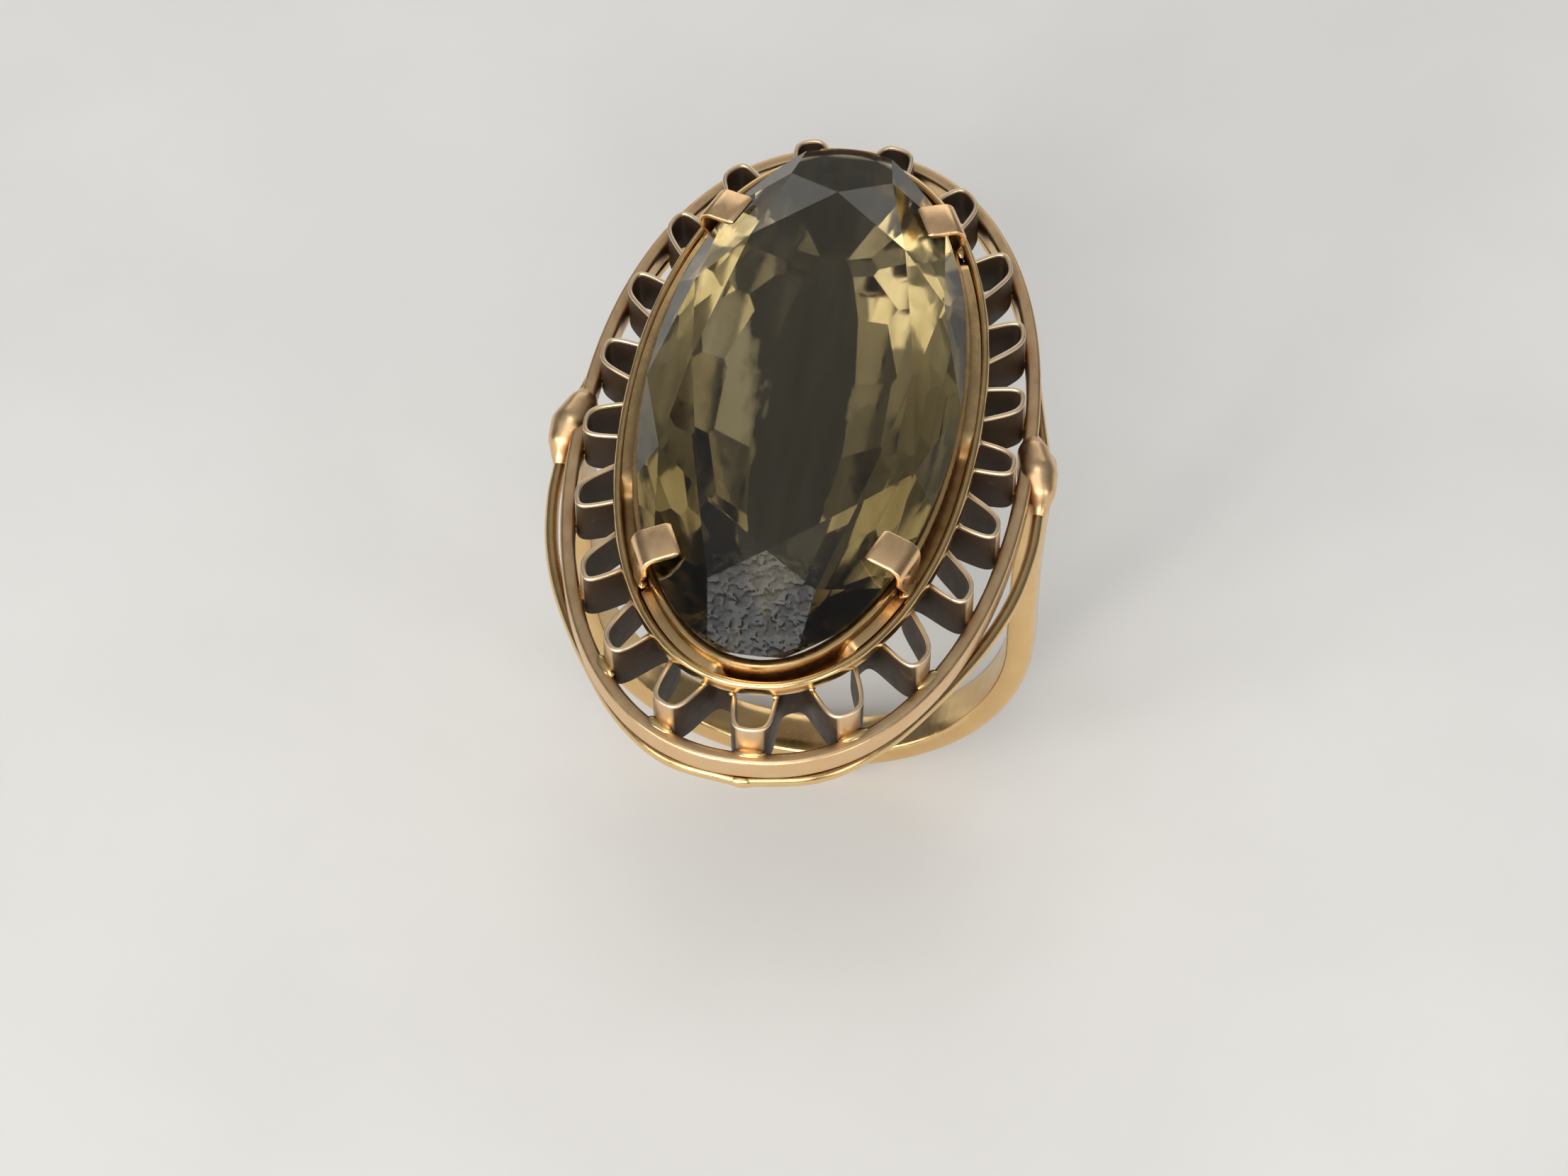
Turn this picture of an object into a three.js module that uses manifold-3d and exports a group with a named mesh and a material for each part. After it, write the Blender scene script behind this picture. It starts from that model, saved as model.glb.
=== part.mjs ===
// Cocktail ring: a long oval stone held by four strap claws on a corrugated ribbon gallery.
// Millimetres. +Z points up through the stone, +Y lies along the finger and along the head,
// +X lies across the finger. The origin is the centre of the finger hole.
import * as THREE from 'three';
import { ConvexGeometry } from 'three/addons/geometries/ConvexGeometry.js';
import { ConvexHull } from 'three/addons/math/ConvexHull.js';
import { mergeVertices } from 'three/addons/utils/BufferGeometryUtils.js';
import Module from 'manifold-3d';

// Driving dimensions

const FINGER_RADIUS = 8.75;
const JOINT_GAP = 0.02; // left between soldered pieces, so that each stays its own solid

// Heights in the head are counted from the top face of the base rail.
const RAIL_TOP = 10.5;
const OVAL_STEPS = 80; // corners round each oval rim

const RAIL = {
  halfWidth: 9.57, halfLength: 17.0, fullness: 2.2, band: 0.65, low: -1.0, high: 0, round: 0.1,
};
const COLLET = {
  halfWidth: 7.4, halfLength: 14.72, fullness: 2.15, band: 0.42, low: 1.28, high: 1.95, round: 0.12,
};
const BEARING = {
  halfWidth: 6.62, halfLength: 14.1, fullness: 2.06, band: 0.6, low: 1.28, high: 2.45, round: 0.1,
};

const RIBBON = {
  loops: 21, stepsPerLoop: 16, thickness: 0.22, low: -0.85, high: 1.25,
  innerHalfWidth: 6.55, innerHalfLength: 13.95, squareness: 1.6, drift: 0.9, driftPhase: 0.3,
};

// The main facets listed in shields, at the two ends, run down to the girdle uncut.
const STONE = {
  halfWidth: 6.42, halfLength: 13.95, girdleTop: 2.95, tableHeight: 4.5,
  tableRatio: 0.707, starRatio: 0.867, mainFacets: 8, girdleFacets: 48, shields: [2, 6],
};
// Outlines of the stepped pavilion below the girdle: half-width, half-length, height.
const PAVILION_STEPS = [
  { halfWidth: 6.42, halfLength: 13.95, height: 2.62, facets: 32 },
  { halfWidth: 4.9, halfLength: 12.1, height: 1.15, facets: 20 },
  { halfWidth: 3.4, halfLength: 10.8, height: -0.1, facets: 20 },
  { halfWidth: 1.85, halfLength: 9.4, height: -1.15, facets: 16 },
  { halfWidth: 0.1, halfLength: 7.0, height: -1.3, facets: 0 },
];

const CLAW = {
  width: 1.6, thickness: 0.26, footWidth: 0.5, footTop: 2.1, shoulder: 3.3,
  bendHeight: 3.78, reach: 1.12, rise: 0.12, bendRadius: 0.45,
};
const CLAW_DISTANCE = { front_left: 9.75, front_right: 8.85, rear_left: 9.45, rear_right: 9.9 };

const SHANK = {
  thickness: 1.2, widthAtBack: 2.2, widthAtShoulder: 2.6, lean: 0.45, dome: 0.4, edge: 0.15, steps: 44,
};
const KNUCKLE = { outward: 9.9, radiusX: 0.66, radiusY: 1.5, radiusZ: 0.84, height: -0.45 };

const ARM_RADIUS = 0.28;
// Routes of the shoulder arms from a knuckle to the end of the head: the angle round the rail from
// the side, the arm's centre outside the rail's edge, and its drop below the rail's underside.
// The front arms are sprung out past the rail, and the rear ones lie close under it.
const ARM_ROUTES = {
  front: [
    { angle: 3.9, outside: 0.35, drop: 0.05 },
    { angle: 10, outside: 0.42, drop: 0.12 },
    { angle: 19, outside: 0.32, drop: 0.15 },
    { angle: 29, outside: 0.02, drop: 0.12 },
    { angle: 42, outside: -0.32, drop: 0.08 },
    { angle: 58, outside: -0.32, drop: 0.04 },
    { angle: 73, outside: -0.22, drop: 0.04 },
    { angle: 90, outside: -0.2, drop: 0.04 },
  ],
  rear: [
    { angle: 3.9, outside: 0.25, drop: 0 },
    { angle: 12, outside: -0.15, drop: 0 },
    { angle: 30, outside: -0.35, drop: 0 },
    { angle: 60, outside: -0.3, drop: 0 },
    { angle: 90, outside: -0.28, drop: 0 },
  ],
};
const ARM_STEPS = 24;

// Finishes

function metal(color, roughness) {
  return new THREE.MeshStandardMaterial({ color, roughness, metalness: 1 });
}
const yellowGold = () => metal(0xc9a36c, 0.28);
const roseGold = () => metal(0xc79a7c, 0.32);
const quartz = () => new THREE.MeshStandardMaterial({ color: 0x4a4430, roughness: 0.05, metalness: 0 });

// Solids

const wasm = await Module();
wasm.setup();

function toSolid(geometry) {
  const bare = geometry.clone();
  bare.deleteAttribute('normal');
  bare.deleteAttribute('uv');
  const welded = mergeVertices(bare, 1e-4);
  const vertProperties = Float32Array.from(welded.attributes.position.array);
  const triVerts = Uint32Array.from(welded.index.array);
  return new wasm.Manifold(new wasm.Mesh({ numProp: 3, vertProperties, triVerts }));
}

function toGeometry(solid) {
  const mesh = solid.getMesh();
  const geometry = new THREE.BufferGeometry();
  geometry.setAttribute('position', new THREE.BufferAttribute(mesh.vertProperties, 3));
  geometry.setIndex(new THREE.BufferAttribute(mesh.triVerts, 1));
  return geometry;
}

// Ovals

/** A slightly squared oval in the XY plane, starting at its -Y end and running anticlockwise. */
class Oval extends THREE.Curve {
  constructor({ halfWidth, halfLength, fullness = 2 }) {
    super();
    this.halfWidth = halfWidth;
    this.halfLength = halfLength;
    this.power = 2 / fullness;
  }

  getPoint(share, target = new THREE.Vector3()) {
    const angle = (share - 0.25) * 2 * Math.PI;
    const swell = (value) => Math.sign(value) * Math.abs(value) ** this.power;
    const x = this.halfWidth * swell(Math.cos(angle));
    return target.set(x, this.halfLength * swell(Math.sin(angle)), 0);
  }

  /** The point at this share of the turn, moved outwards along the oval's normal. */
  getPointOutside(share, distance) {
    const tangent = this.getTangent(share);
    return this.getPoint(share).add(new THREE.Vector3(tangent.y, -tangent.x, 0).multiplyScalar(distance));
  }
}

function closedOutline(count, pointAt) {
  return Array.from({ length: count }, (_, i) => {
    const point = pointAt(i / count);
    return new THREE.Vector2(point.x, point.y);
  });
}

function upright(outer, inner, low, high, round) {
  const shape = new THREE.Shape(outer);
  shape.holes.push(new THREE.Path(inner));
  const bevel = round > 0;
  const geometry = new THREE.ExtrudeGeometry(shape, {
    depth: high - low - 2 * round, steps: 1, bevelEnabled: bevel,
    bevelThickness: round, bevelSize: round, bevelOffset: -round, bevelSegments: 1,
  });
  return geometry.translate(0, 0, RAIL_TOP + low + round);
}

/** An oval rim of constant width with softened edges, made larger by `extra` on every side. */
function rimGeometry(rim, extra = 0) {
  const oval = new Oval(rim);
  const outer = closedOutline(OVAL_STEPS, (share) => oval.getPointOutside(share, extra));
  const inner = closedOutline(OVAL_STEPS, (share) => oval.getPointOutside(share, -rim.band - extra));
  return upright(outer, inner, rim.low - extra, rim.high + extra, rim.round);
}

// The corrugated ribbon stands on edge between the rims and the rail.

function ribbonGeometry() {
  const clearRail = RAIL.band + JOINT_GAP + RIBBON.thickness / 2;
  const outerOval = new Oval(RAIL);
  const innerOval = new Oval({ halfWidth: RIBBON.innerHalfWidth, halfLength: RIBBON.innerHalfLength });

  // The loops were bent by hand: on the +X side they drift off even spacing, most by `drift`.
  const driftAt = (share) => {
    const side = share < 0.5 ? Math.sin(4 * Math.PI * share + RIBBON.driftPhase) : RIBBON.driftPhase;
    return (RIBBON.drift * side) / outerOval.getLength();
  };
  const centreAt = (share) => {
    const wave = Math.cos(2 * Math.PI * RIBBON.loops * share);
    const outward = 0.5 + (0.5 * Math.tanh(RIBBON.squareness * wave)) / Math.tanh(RIBBON.squareness);
    const turn = outerOval.getUtoTmapping((share + driftAt(share) + 1) % 1);
    const outerPoint = outerOval.getPointOutside(turn, -clearRail);
    return innerOval.getPoint(turn).lerp(outerPoint, outward);
  };
  const count = RIBBON.loops * RIBBON.stepsPerLoop;
  const centres = Array.from({ length: count }, (_, i) => centreAt(i / count));
  const sideAt = (offset) => (share) => {
    const i = Math.round(share * count);
    const along = centres[(i + 1) % count].clone().sub(centres[(i - 1 + count) % count]).normalize();
    return centres[i].clone().add(new THREE.Vector3(along.y, -along.x, 0).multiplyScalar(offset));
  };
  const outer = closedOutline(count, sideAt(RIBBON.thickness / 2));
  const inner = closedOutline(count, sideAt(-RIBBON.thickness / 2));
  return upright(outer, inner, RIBBON.low, RIBBON.high, 0);
}

// The stone is the solid inside a set of facet planes.

/** The convex solid inside the planes, each given as a normal and its distance from `centre`. */
function solidInsidePlanes(planes, centre) {
  const dual = planes.map((plane) => plane.normal.clone().divideScalar(plane.distance));
  const corners = new Map();
  for (const face of new ConvexHull().setFromPoints(dual).faces) {
    const corner = face.normal.clone().divideScalar(face.constant).add(centre);
    corners.set(corner.toArray().map((value) => value.toFixed(3)).join(), corner);
  }
  return new ConvexGeometry([...corners.values()]);
}

function facet(centre, a, b, c) {
  const normal = b.clone().sub(a).cross(c.clone().sub(a)).normalize();
  const distance = normal.dot(a.clone().sub(centre));
  return distance > 0 ? { normal, distance } : { normal: normal.negate(), distance: -distance };
}

function stoneGeometry(extra = 0) {
  const { halfWidth, halfLength, girdleTop, tableHeight, tableRatio, starRatio, mainFacets } = STONE;
  const centre = new THREE.Vector3(0, 0, RAIL_TOP + PAVILION_STEPS[0].height);
  const at = (ratio, angle, height) => new THREE.Vector3(
    halfWidth * ratio * Math.cos(angle), halfLength * ratio * Math.sin(angle), RAIL_TOP + height);
  const planes = [{ normal: new THREE.Vector3(0, 0, 1), distance: RAIL_TOP + tableHeight - centre.z }];

  // Brilliant crown: main, star and upper girdle facets of a round brilliant, stretched to the oval.
  const sector = (2 * Math.PI) / mainFacets;
  const mainSlope = (tableHeight - girdleTop) / (1 - tableRatio);
  const starHeight = girdleTop + mainSlope * (1 - starRatio * Math.cos(sector / 2));
  for (let i = 0; i < mainFacets; i += 1) {
    const angle = i * sector;
    const table = at(tableRatio, angle, tableHeight);
    const star = at(starRatio, angle + sector / 2, starHeight);
    const girdle = at(1, angle, girdleTop);
    const between = at(1, angle + sector / 2, girdleTop);
    planes.push(facet(centre, table, star, girdle));
    planes.push(facet(centre, table, at(tableRatio, angle + sector, tableHeight), star));
    if (!STONE.shields.includes(i)) planes.push(facet(centre, star, girdle, between));
    if (!STONE.shields.includes((i + 1) % mainFacets)) {
      planes.push(facet(centre, star, between, at(1, angle + sector, girdleTop)));
    }
  }

  for (let i = 0; i < STONE.girdleFacets; i += 1) {
    const angle = ((i + 0.5) * 2 * Math.PI) / STONE.girdleFacets;
    const normal = new THREE.Vector3(Math.cos(angle) / halfWidth, Math.sin(angle) / halfLength, 0);
    planes.push({ normal: normal.clone().normalize(), distance: 1 / normal.length() });
  }

  // Stepped pavilion: each row of facets runs from one outline down to the next.
  PAVILION_STEPS.slice(0, -1).forEach((step, row) => {
    const next = PAVILION_STEPS[row + 1];
    for (let i = 0; i < step.facets; i += 1) {
      const angle = (i * 2 * Math.PI) / step.facets;
      const rim = new THREE.Vector3(
        step.halfWidth * Math.cos(angle), step.halfLength * Math.sin(angle), RAIL_TOP + step.height);
      const along = new THREE.Vector3(
        -step.halfWidth * Math.sin(angle), step.halfLength * Math.cos(angle), 0);
      const below = new THREE.Vector3(
        next.halfWidth * Math.cos(angle), next.halfLength * Math.sin(angle), RAIL_TOP + next.height);
      planes.push(facet(centre, rim, rim.clone().add(along), below));
    }
  });
  const grown = planes.map(({ normal, distance }) => ({ normal, distance: distance + extra }));
  return solidInsidePlanes(grown, centre);
}

// A claw is a flat strap that rises between the two rims and folds over the crown.

function clawGeometry(distance, sideX, sideY, seat) {
  const half = CLAW.thickness / 2;
  const rise = CLAW.bendHeight - half;
  const fold = Math.atan2(CLAW.reach, CLAW.rise);
  const profile = new THREE.Shape();
  // Profile in the strap's own plane: x points inwards over the stone, y points up.
  profile.moveTo(-half, COLLET.low);
  profile.lineTo(half, COLLET.low);
  const inner = CLAW.bendRadius - half;
  const outer = CLAW.bendRadius + half;
  profile.absarc(CLAW.bendRadius, rise - CLAW.bendRadius, inner, Math.PI, Math.PI - fold, true);
  const along = new THREE.Vector2(Math.sin(fold), Math.cos(fold)).multiplyScalar(CLAW.reach);
  const innerEnd = new THREE.Vector2(-Math.cos(fold), Math.sin(fold)).multiplyScalar(inner);
  const outerEnd = new THREE.Vector2(-Math.cos(fold), Math.sin(fold)).multiplyScalar(outer);
  const centre = new THREE.Vector2(CLAW.bendRadius, rise - CLAW.bendRadius);
  profile.lineTo(centre.x + innerEnd.x + along.x, centre.y + innerEnd.y + along.y);
  profile.lineTo(centre.x + outerEnd.x + along.x, centre.y + outerEnd.y + along.y);
  profile.absarc(centre.x, centre.y, outer, Math.PI - fold, Math.PI, false);
  const strap = new THREE.ExtrudeGeometry(profile, {
    depth: CLAW.width, bevelEnabled: false, curveSegments: 8,
  });
  strap.translate(0, 0, -CLAW.width / 2);

  // Seen from outside, the strap narrows from its shoulder down to a small foot.
  const outline = new THREE.Shape();
  outline.moveTo(-CLAW.footWidth / 2, 0);
  outline.lineTo(CLAW.footWidth / 2, 0);
  outline.lineTo(CLAW.footWidth / 2, CLAW.footTop);
  outline.lineTo(CLAW.width / 2, CLAW.shoulder);
  outline.lineTo(CLAW.width / 2, 2 * CLAW.bendHeight);
  outline.lineTo(-CLAW.width / 2, 2 * CLAW.bendHeight);
  outline.lineTo(-CLAW.width / 2, CLAW.shoulder);
  outline.lineTo(-CLAW.footWidth / 2, CLAW.footTop);
  outline.closePath();
  const front = new THREE.ExtrudeGeometry(outline, { depth: 2 * CLAW.width, bevelEnabled: false });
  front.rotateY(Math.PI / 2).translate(-CLAW.thickness, 0, 0);

  // Stand the strap in the middle of the groove, facing along the oval's normal.
  const groove = new Oval({
    halfWidth: (COLLET.halfWidth - COLLET.band + BEARING.halfWidth) / 2,
    halfLength: (COLLET.halfLength - COLLET.band + BEARING.halfLength) / 2,
    fullness: BEARING.fullness,
  });
  const angle = Math.asin((distance / groove.halfLength) ** (1 / groove.power));
  const share = 0.25 - angle / (2 * Math.PI);
  const foot = groove.getPoint(share);
  const outward = groove.getPointOutside(share, 1).sub(foot);
  const inward = outward.clone().negate();
  const up = new THREE.Vector3(0, 0, 1);
  const basis = new THREE.Matrix4().makeBasis(inward, up, inward.clone().cross(up));
  basis.setPosition(foot.x, foot.y, RAIL_TOP);
  const cut = toSolid(strap).intersect(toSolid(front));
  const solid = toSolid(toGeometry(cut).applyMatrix4(basis)).subtract(seat);
  return mirrored(toGeometry(solid), sideX, -sideY);
}

/** The same piece on the other side of X = 0 or Y = 0, with its faces still pointing outwards. */
function mirrored(geometry, signX, signY) {
  const copy = geometry.clone().scale(signX, signY, 1);
  if (signX * signY < 0) {
    const index = copy.index.array;
    for (let i = 0; i < index.length; i += 3) {
      [index[i], index[i + 1]] = [index[i + 1], index[i]];
    }
  }
  return copy;
}

// Shank, knuckles and shoulder arms

const shankTop = RAIL_TOP + RAIL.low - JOINT_GAP;

function shankGeometry() {
  const middle = FINGER_RADIUS + SHANK.thickness / 2;
  const side = shankTop / (2 * shankTop + Math.PI * middle);
  class ShankPath extends THREE.Curve {
    // Leaning side, half circle round the finger, leaning side.
    getPoint(share, target = new THREE.Vector3()) {
      const rise = share < side ? 1 - share / side : Math.max(0, (share - 1 + side) / side);
      if (rise > 0) {
        const sign = share < 0.5 ? -1 : 1;
        return target.set(sign * (middle + SHANK.lean * rise ** 2), 0, shankTop * rise);
      }
      const angle = Math.PI + ((share - side) / (1 - 2 * side)) * Math.PI;
      return target.set(middle * Math.cos(angle), 0, middle * Math.sin(angle));
    }
  }
  // D section, flat against the finger and softly domed outside. Its y runs across the thickness.
  const half = SHANK.thickness / 2;
  const width = SHANK.widthAtBack / 2;
  const section = new THREE.Shape();
  const { dome, edge } = SHANK;
  section.moveTo(-width + edge, -half);
  section.lineTo(width - edge, -half);
  section.lineTo(width, -half + edge);
  section.lineTo(width, half - dome);
  section.quadraticCurveTo(width - dome, half, 0, half);
  section.quadraticCurveTo(-width + dome, half, -width, half - dome);
  section.lineTo(-width, -half + edge);
  section.closePath();
  const geometry = new THREE.ExtrudeGeometry(section, {
    steps: SHANK.steps, extrudePath: new ShankPath(), bevelEnabled: false, curveSegments: 3,
  });
  // The band widens from the back of the finger to the shoulders.
  const position = geometry.attributes.position;
  const flare = SHANK.widthAtShoulder / SHANK.widthAtBack - 1;
  for (let i = 0; i < position.count; i += 1) {
    const share = THREE.MathUtils.smoothstep(position.getZ(i), -middle, shankTop);
    position.setY(i, position.getY(i) * (1 + flare * share));
    position.setZ(i, Math.min(position.getZ(i), shankTop));
  }
  return geometry;
}

function knuckleGeometry(side, grownRail) {
  const bead = new THREE.SphereGeometry(1, 20, 12);
  bead.rotateX(Math.PI / 2).scale(KNUCKLE.radiusX, KNUCKLE.radiusY, KNUCKLE.radiusZ);
  bead.translate(KNUCKLE.outward, 0, RAIL_TOP + KNUCKLE.height);
  const size = 4 * KNUCKLE.radiusY;
  const below = new THREE.BoxGeometry(size, size, size);
  below.translate(KNUCKLE.outward, 0, shankTop + JOINT_GAP - size / 2);
  const solid = toSolid(bead).subtract(grownRail).subtract(toSolid(below));
  return mirrored(toGeometry(solid), side, 1);
}

function armGeometry(stops, sideX, sideY) {
  const rail = new Oval(RAIL);
  const under = RAIL_TOP + RAIL.low - JOINT_GAP - ARM_RADIUS;
  const route = stops.map(({ angle, outside, drop }) => {
    const point = rail.getPointOutside(0.25 - angle / 360, outside);
    return new THREE.Vector3(Math.max(point.x, JOINT_GAP), point.y, under - drop);
  });
  const section = new THREE.Shape().absarc(0, 0, ARM_RADIUS, 0, 2 * Math.PI, false);
  const wire = new THREE.ExtrudeGeometry(section, {
    steps: ARM_STEPS, extrudePath: new THREE.CatmullRomCurve3(route),
    bevelEnabled: false, curveSegments: 5,
  });
  return mirrored(toGeometry(toSolid(wire)), sideX, -sideY);
}

// Assembly

const ring = new THREE.Group();

function add(name, geometry, material) {
  const mesh = new THREE.Mesh(geometry, material);
  mesh.name = name;
  ring.add(mesh);
}

const seat = toSolid(stoneGeometry(JOINT_GAP));

add('stone', stoneGeometry(), quartz());
add('bearing_rim', toGeometry(toSolid(rimGeometry(BEARING)).subtract(seat)), yellowGold());
add('collet_rim', rimGeometry(COLLET), yellowGold());
add('gallery_ribbon', ribbonGeometry(), roseGold());
add('base_rail', rimGeometry(RAIL), yellowGold());
add('shank', shankGeometry(), yellowGold());

const grownRail = toSolid(rimGeometry(RAIL, JOINT_GAP));
for (const [nameX, sideX] of [['left', -1], ['right', 1]]) {
  add(`shoulder_knuckle_${nameX}`, knuckleGeometry(sideX, grownRail), yellowGold());
  for (const [nameY, sideY] of [['front', -1], ['rear', 1]]) {
    const claw = clawGeometry(CLAW_DISTANCE[`${nameY}_${nameX}`], sideX, sideY, seat);
    add(`claw_${nameY}_${nameX}`, claw, roseGold());
    add(`shoulder_arm_${nameY}_${nameX}`, armGeometry(ARM_ROUTES[nameY], sideX, sideY), yellowGold());
  }
}

export default ring;
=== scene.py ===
"""Looks of a cocktail ring: a long oval smoky stone in strap claws, on a corrugated gold gallery.

Lengths are in millimetres until a mesh is made, where MM turns them into metres.
+Z points up through the stone, +Y runs along the head, and the origin is the finger hole's centre.
"""
import math
import random

import bmesh
import bpy
from mathutils import Matrix, Vector, noise


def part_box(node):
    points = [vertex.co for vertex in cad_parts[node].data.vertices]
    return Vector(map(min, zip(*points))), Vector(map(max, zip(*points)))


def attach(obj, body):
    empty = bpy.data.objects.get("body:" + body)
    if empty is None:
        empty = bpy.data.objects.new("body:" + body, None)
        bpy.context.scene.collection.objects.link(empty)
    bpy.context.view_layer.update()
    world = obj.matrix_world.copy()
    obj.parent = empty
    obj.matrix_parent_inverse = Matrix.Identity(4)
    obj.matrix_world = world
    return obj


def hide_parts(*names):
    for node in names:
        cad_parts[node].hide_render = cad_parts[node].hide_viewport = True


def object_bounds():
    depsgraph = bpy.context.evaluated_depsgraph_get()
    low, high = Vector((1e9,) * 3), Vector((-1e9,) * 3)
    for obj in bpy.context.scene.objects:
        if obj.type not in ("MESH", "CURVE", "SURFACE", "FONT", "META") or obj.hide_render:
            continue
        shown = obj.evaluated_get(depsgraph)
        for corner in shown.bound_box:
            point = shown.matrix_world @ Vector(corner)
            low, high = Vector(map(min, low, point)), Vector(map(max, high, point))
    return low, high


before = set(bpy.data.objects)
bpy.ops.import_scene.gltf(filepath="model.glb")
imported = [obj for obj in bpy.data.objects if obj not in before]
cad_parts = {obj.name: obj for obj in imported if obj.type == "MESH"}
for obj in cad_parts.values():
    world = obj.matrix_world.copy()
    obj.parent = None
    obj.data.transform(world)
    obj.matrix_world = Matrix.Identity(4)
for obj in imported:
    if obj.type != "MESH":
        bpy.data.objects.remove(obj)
cad_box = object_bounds()

MM = 0.001
UP = Vector((0, 0, 1))
TURN = 2 * math.pi


def top_of(node):
    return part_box(node)[1] / MM


def bottom_of(node):
    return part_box(node)[0] / MM


# Most heights below are measured from the base rail's top face.
RAIL_TOP = top_of("base_rail").z


def share_between(value, low, high):
    """0 up to low, 1 from high on, and a straight ramp between them."""
    return min(1, max(0, (value - low) / (high - low)))


def eased(share):
    """A ramp from 0 to 1 with soft ends."""
    return share * share * (3 - 2 * share)


# Ovals


class Oval:
    """A slightly squared oval. Share 0 is its -Y end, and it runs anticlockwise."""

    def __init__(self, half_width, half_length, fullness=2.0):
        self.half_width = half_width
        self.half_length = half_length
        self.fullness = fullness
        self.table = self.arc_table()

    def point(self, share):
        angle = (share - 0.25) * TURN
        x, y = math.cos(angle), math.sin(angle)
        power = 2 / self.fullness
        return Vector((
            math.copysign(abs(x) ** power, x) * self.half_width,
            math.copysign(abs(y) ** power, y) * self.half_length,
            0,
        ))

    def normal(self, share):
        x, y, _ = self.point(share)
        power = self.fullness - 1
        across = math.copysign(abs(x / self.half_width) ** power, x) / self.half_width
        along = math.copysign(abs(y / self.half_length) ** power, y) / self.half_length
        return Vector((across, along, 0)).normalized()

    def outside(self, share, distance):
        return self.point(share) + self.normal(share) * distance

    def arc_table(self, steps=720):
        lengths = [0.0]
        last = self.point(0)
        for i in range(1, steps + 1):
            point = self.point(i / steps)
            lengths.append(lengths[-1] + (point - last).length)
            last = point
        return lengths

    def share_at(self, arc):
        """The share where this fraction of the oval's length lies behind."""
        steps = len(self.table) - 1
        wanted = (arc % 1) * self.table[-1]
        low, high = 0, steps
        while high - low > 1:
            middle = (low + high) // 2
            if self.table[middle] <= wanted:
                low = middle
            else:
                high = middle
        span = self.table[high] - self.table[low]
        return (low + (wanted - self.table[low]) / span) / steps


def wobble(arc, seed, amount):
    """A smooth hand-made unevenness round a closed form."""
    draw = random.Random(seed)
    value = 0.0
    for cycles in (2, 3, 5, 7, 11):
        value += math.sin(TURN * (cycles * arc + draw.random())) / cycles
    return value * amount


# Sizes of the rims. JOINT_GAP lies between pieces that are soldered together, and SWAY_ROOM is
# left in a piece's height for its unevenness.

JOINT_GAP = 0.02
SWAY_ROOM = 0.02
SEAT_HEIGHT = top_of("bearing_rim").z - RAIL_TOP
COLLET_HEIGHT = top_of("collet_rim").z - RAIL_TOP
RIM_FOOT = bottom_of("collet_rim").z - RAIL_TOP

RAIL_OVAL = Oval(top_of("base_rail").x, top_of("base_rail").y, 2.2)
COLLET_OVAL = Oval(top_of("collet_rim").x, top_of("collet_rim").y, 2.15)
BEARING_OVAL = Oval(top_of("bearing_rim").x, top_of("bearing_rim").y, 2.06)
RAIL_BAND = 0.65
RAIL_HEIGHT = 1.0
RAIL_CORNER = 0.16
COLLET_BAND = 0.42
COLLET_CORNER = 0.2
OVAL_STEPS = 320

# Meshes


def rounded(width, height, radius, corner_steps=3):
    """A rounded rectangle round (0, 0), as (u, v) points in order."""
    radius = min(radius, width / 2, height / 2)
    points = []
    corners = ((1, 1, 0), (-1, 1, 1), (-1, -1, 2), (1, -1, 3))
    for side_u, side_v, quarter in corners:
        for step in range(corner_steps + 1):
            angle = (quarter + step / corner_steps) * TURN / 4
            points.append((
                side_u * (width / 2 - radius) + radius * math.cos(angle),
                side_v * (height / 2 - radius) + radius * math.sin(angle),
            ))
    return points


def ellipse(radius_u, radius_v, steps):
    return [
        (radius_u * math.cos(TURN * i / steps), radius_v * math.sin(TURN * i / steps))
        for i in range(steps)
    ]


def skin(rows, closed):
    """Vertices and faces of a skin over rows of points, capped at both ends unless closed."""
    count = len(rows[0])
    verts = [point for row in rows for point in row]
    faces = []
    spans = len(rows) if closed else len(rows) - 1
    for i in range(spans):
        here, there = i * count, ((i + 1) % len(rows)) * count
        for j in range(count):
            k = (j + 1) % count
            faces.append((here + j, here + k, there + k, there + j))
    if not closed:
        faces.append(tuple(reversed(range(count))))
        faces.append(tuple((len(rows) - 1) * count + j for j in range(count)))
    return verts, faces


def swept(frames, sections, closed):
    """A skin through one section per frame. A frame is (origin, across, upward)."""
    rows = [
        [origin + across * u + upward * v for u, v in section]
        for (origin, across, upward), section in zip(frames, sections)
    ]
    return skin(rows, closed)


def joined(parts):
    verts, faces = [], []
    for more_verts, more_faces in parts:
        start = len(verts)
        verts += more_verts
        faces += [tuple(start + i for i in face) for face in more_faces]
    return verts, faces


def make(name, shape, material, stands_for=(), crease=40):
    """Turns vertices and faces in millimetres into a piece of the ring."""
    verts, faces = shape
    mesh = bpy.data.meshes.new(name)
    mesh.from_pydata([tuple(v * MM) for v in verts], [], faces)
    work = bmesh.new()
    work.from_mesh(mesh)
    bmesh.ops.recalc_face_normals(work, faces=work.faces)
    work.to_mesh(mesh)
    work.free()
    if crease:
        mesh.shade_smooth()
        mesh.set_sharp_from_angle(angle=math.radians(crease))
    mesh.materials.append(material)
    made = bpy.data.objects.new(name, mesh)
    bpy.context.scene.collection.objects.link(made)
    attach(made, "root")
    if stands_for:
        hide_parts(*stands_for)
    return made


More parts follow.
